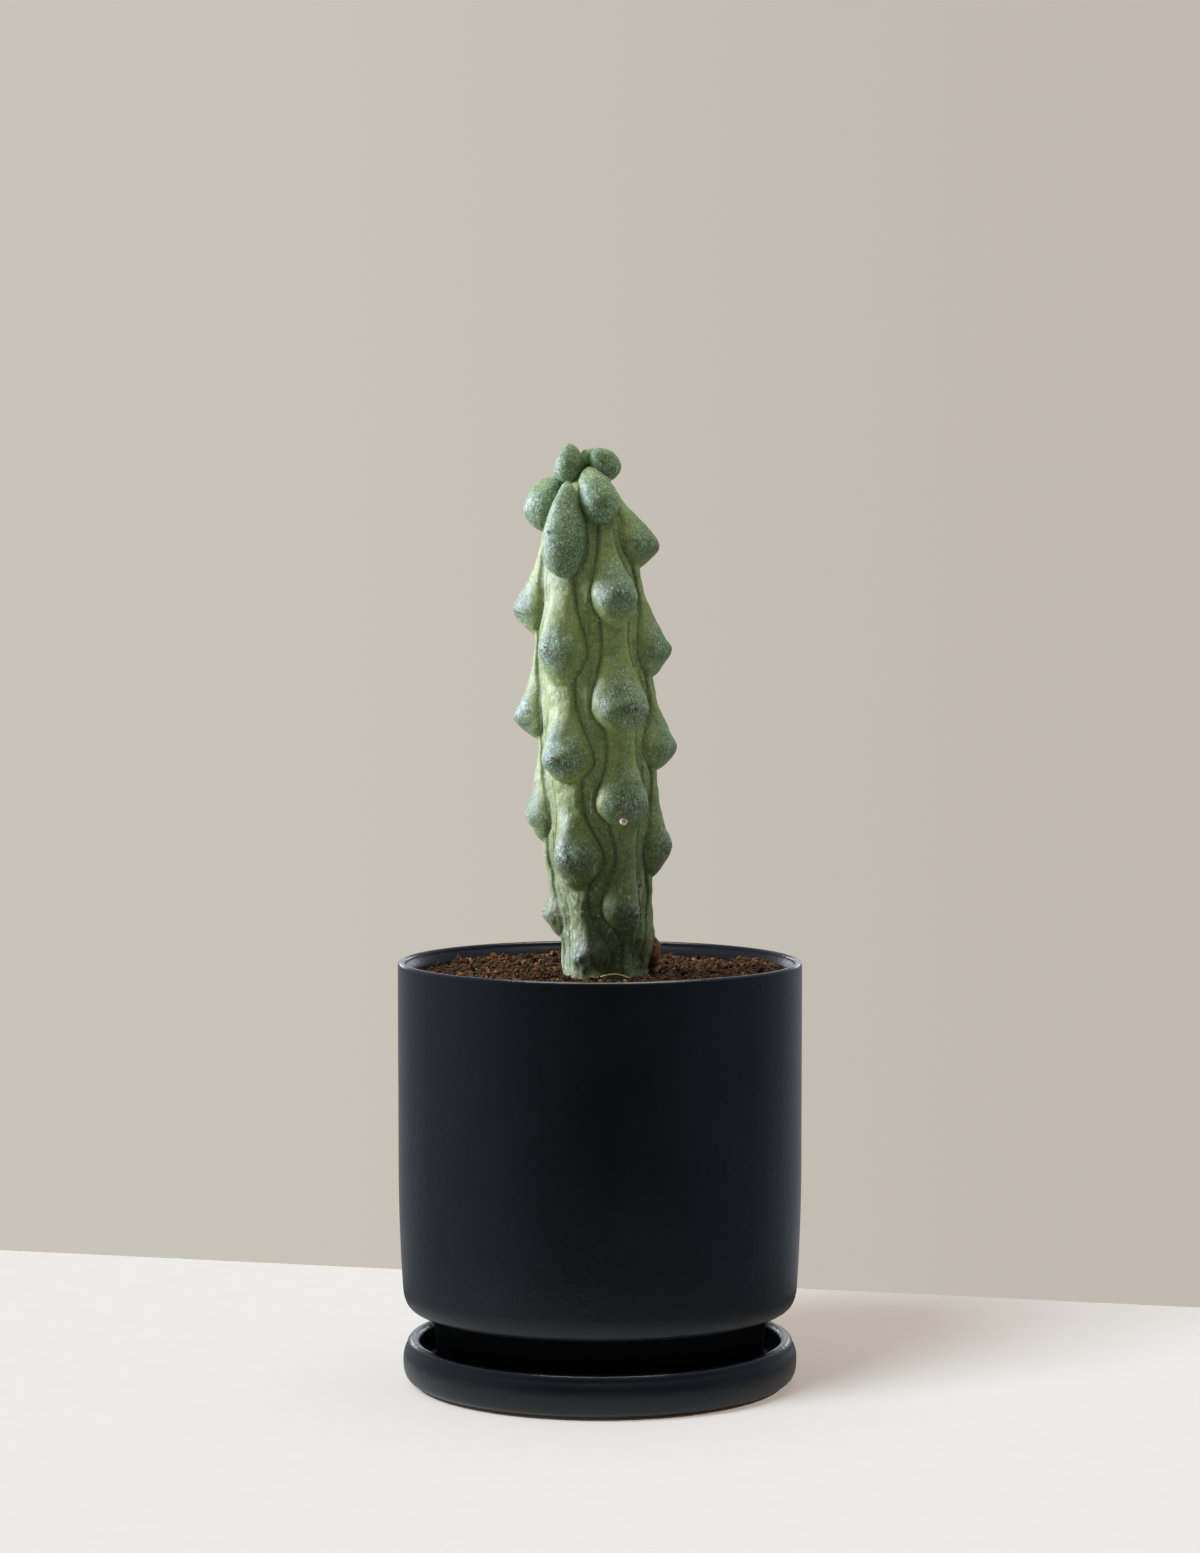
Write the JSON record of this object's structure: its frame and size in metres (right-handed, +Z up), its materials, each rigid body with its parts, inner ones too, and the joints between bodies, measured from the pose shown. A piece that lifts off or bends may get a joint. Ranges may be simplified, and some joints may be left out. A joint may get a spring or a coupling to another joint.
{
  "type": "potted boobie cactus",
  "caption": "Column cactus with rounded, breast-shaped tubercles and short spines, growing in soil in a matt black cylindrical ceramic pot that stands on its drip saucer.",
  "frame": {"origin": "centre of the saucer's foot ring, on the surface that it stands on", "axes": "+Z up along the pot's axis and the column, -Y to the front, +X to the right seen from the front"},
  "size_m": [0.135, 0.135, 0.3133],
  "materials": {
    "ceramic_black": "matt, smooth",
    "soil_mix": "coarse, dry",
    "cactus_skin": "waxy, satin, with a pale bloom"
  },
  "bodies": {
    "root": {"saucer": "ceramic_black", "pot": "ceramic_black", "soil": "soil_mix", "cactus": "cactus_skin"}
  },
  "joints": []
}
